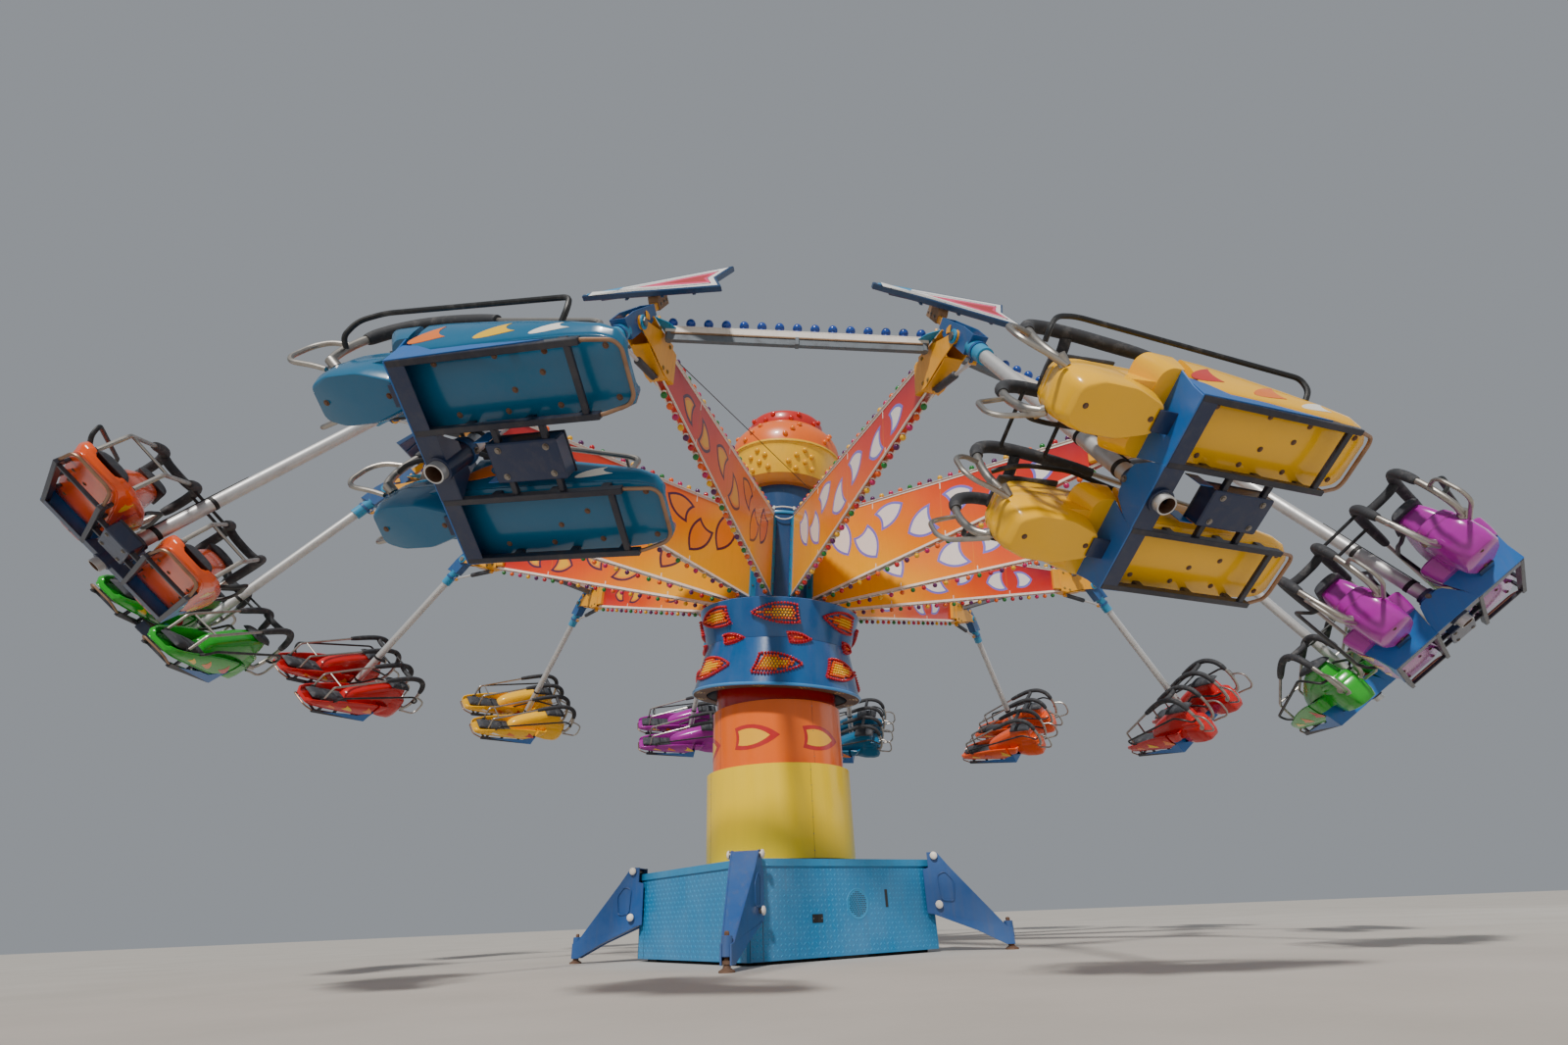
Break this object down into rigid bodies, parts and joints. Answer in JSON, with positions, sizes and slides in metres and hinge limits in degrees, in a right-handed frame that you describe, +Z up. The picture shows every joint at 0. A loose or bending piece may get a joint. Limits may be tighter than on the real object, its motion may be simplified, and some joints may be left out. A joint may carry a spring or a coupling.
{
  "type": "chair swing ride",
  "caption": "Fairground flying ride: telescopic mast, leaning head and sweeps with hanging two-pod gondolas for riders lying face down.",
  "frame": {"origin": "on the ground under the mast's centre line, at the underside of the base frame", "axes": "+Z up; -Y is the base's grille side, toward which the head leans; +X to the right seen from there"},
  "size_m": [12.6266, 12.5265, 6.165],
  "materials": {
    "base_blue": "satin enamel",
    "frame_dark": "matt",
    "sleeve_yellow": "gloss enamel",
    "sleeve_orange": "gloss enamel",
    "sleeve_red": "gloss enamel",
    "head_steel": "satin",
    "drum_blue": "gloss enamel",
    "column_blue": "gloss enamel",
    "crown_yellow": "gloss, glass-fibre moulding",
    "crown_orange": "gloss, glass-fibre moulding",
    "crown_red": "gloss, glass-fibre moulding",
    "sweep_orange": "gloss enamel with painted leaf shapes",
    "pendulum_silver": "silver enamel",
    "pod_blue": "gloss, glass-fibre moulding",
    "pod_orange": "gloss, glass-fibre moulding",
    "pod_green": "gloss, glass-fibre moulding",
    "pod_red": "gloss, glass-fibre moulding",
    "pod_yellow": "gloss, glass-fibre moulding",
    "pod_magenta": "gloss, glass-fibre moulding"
  },
  "bodies": {
    "base": {"base_housing": "base_blue", "base_underframe": "frame_dark", "outrigger_1": "base_blue", "outrigger_2": "base_blue", "outrigger_3": "base_blue", "outrigger_4": "base_blue", "yellow_sleeve": "sleeve_yellow"},
    "mast": {"red_sleeve": "sleeve_red"},
    "cover": {"orange_sleeve": "sleeve_orange"},
    "head": {"tilt_head": "head_steel"},
    "rotor": {"hub_skirt": "drum_blue", "hub_drum": "drum_blue", "hub_column": "column_blue", "crown_bowl": "crown_yellow", "crown_dome": "crown_orange", "crown_cap": "crown_red", "sweep_01": "sweep_orange", "sweep_02": "sweep_orange", "sweep_03": "sweep_orange", "sweep_04": "sweep_orange", "sweep_05": "sweep_orange", "sweep_06": "sweep_orange", "sweep_07": "sweep_orange", "sweep_08": "sweep_orange", "sweep_09": "sweep_orange", "sweep_10": "sweep_orange", "sweep_11": "sweep_orange", "sweep_12": "sweep_orange"},
    "swing_01": {"pendulum_01": "pendulum_silver", "gondola_01": "pod_blue"},
    "swing_02": {"pendulum_02": "pendulum_silver", "gondola_02": "pod_orange"},
    "swing_03": {"pendulum_03": "pendulum_silver", "gondola_03": "pod_green"},
    "swing_04": {"pendulum_04": "pendulum_silver", "gondola_04": "pod_red"},
    "swing_05": {"pendulum_05": "pendulum_silver", "gondola_05": "pod_yellow"},
    "swing_06": {"pendulum_06": "pendulum_silver", "gondola_06": "pod_magenta"},
    "swing_07": {"pendulum_07": "pendulum_silver", "gondola_07": "pod_blue"},
    "swing_08": {"pendulum_08": "pendulum_silver", "gondola_08": "pod_orange"},
    "swing_09": {"pendulum_09": "pendulum_silver", "gondola_09": "pod_red"},
    "swing_10": {"pendulum_10": "pendulum_silver", "gondola_10": "pod_green"},
    "swing_11": {"pendulum_11": "pendulum_silver", "gondola_11": "pod_magenta"},
    "swing_12": {"pendulum_12": "pendulum_silver", "gondola_12": "pod_yellow"}
  },
  "joints": [
    {"name": "lift", "type": "slide", "parent": "base", "child": "mast", "axis": [0, 0, 1], "range_m": [-1.25, 0]},
    {"name": "cover_lift", "type": "slide", "parent": "base", "child": "cover", "axis": [0, 0, 1], "range_m": [-0.625, 0]},
    {"name": "head_lean", "type": "hinge", "parent": "mast", "child": "head", "pos_m": [0, 0, 2.48], "axis": [1, 0, 0], "range_deg": [-7.22, 0]},
    {"name": "spin", "type": "hinge", "parent": "head", "child": "rotor", "pos_m": [0, 0, 2.48], "axis": [0, -0.1257, 0.9921], "continuous": true},
    {"name": "swing_01", "type": "hinge", "parent": "rotor", "child": "swing_01", "pos_m": [-3.31084, -3.27169, 4.05601], "axis": [-0.6773, 0.7299, 0.0925], "range_deg": [-45, 6]},
    {"name": "swing_02", "type": "hinge", "parent": "rotor", "child": "swing_02", "pos_m": [-4.39111, -1.22432, 4.31538], "axis": [-0.2187, 0.9681, 0.1226], "range_deg": [-45, 6]},
    {"name": "swing_03", "type": "hinge", "parent": "rotor", "child": "swing_03", "pos_m": [-4.29479, 1.0846, 4.60788], "axis": [0.2985, 0.9468, 0.1199], "range_deg": [-45, 6]},
    {"name": "swing_04", "type": "hinge", "parent": "rotor", "child": "swing_04", "pos_m": [-3.04768, 3.03641, 4.85515], "axis": [0.7357, 0.6719, 0.0851], "range_deg": [-45, 6]},
    {"name": "swing_05", "type": "hinge", "parent": "rotor", "child": "swing_05", "pos_m": [-0.98394, 4.10811, 4.99092], "axis": [0.9758, 0.2169, 0.0275], "range_deg": [-45, 6]},
    {"name": "swing_06", "type": "hinge", "parent": "rotor", "child": "swing_06", "pos_m": [1.34343, 4.01255, 4.97881], "axis": [0.9544, -0.2962, -0.0375], "range_deg": [-45, 6]},
    {"name": "swing_07", "type": "hinge", "parent": "rotor", "child": "swing_07", "pos_m": [3.31084, 2.77533, 4.82207], "axis": [0.6773, -0.7299, -0.0925], "range_deg": [-45, 6]},
    {"name": "swing_08", "type": "hinge", "parent": "rotor", "child": "swing_08", "pos_m": [4.39111, 0.72796, 4.5627], "axis": [0.2187, -0.9681, -0.1226], "range_deg": [-45, 6]},
    {"name": "swing_09", "type": "hinge", "parent": "rotor", "child": "swing_09", "pos_m": [4.29479, -1.58096, 4.2702], "axis": [-0.2985, -0.9468, -0.1199], "range_deg": [-45, 6]},
    {"name": "swing_10", "type": "hinge", "parent": "rotor", "child": "swing_10", "pos_m": [3.04768, -3.53277, 4.02294], "axis": [-0.7357, -0.6719, -0.0851], "range_deg": [-45, 6]},
    {"name": "swing_11", "type": "hinge", "parent": "rotor", "child": "swing_11", "pos_m": [0.98394, -4.60447, 3.88717], "axis": [-0.9758, -0.2169, -0.0275], "range_deg": [-45, 6]},
    {"name": "swing_12", "type": "hinge", "parent": "rotor", "child": "swing_12", "pos_m": [-1.34343, -4.50891, 3.89928], "axis": [-0.9544, 0.2962, 0.0375], "range_deg": [-45, 6]}
  ],
  "couplings": [
    {"joint": "cover_lift", "follows": "lift", "ratio": 0.5}
  ]
}
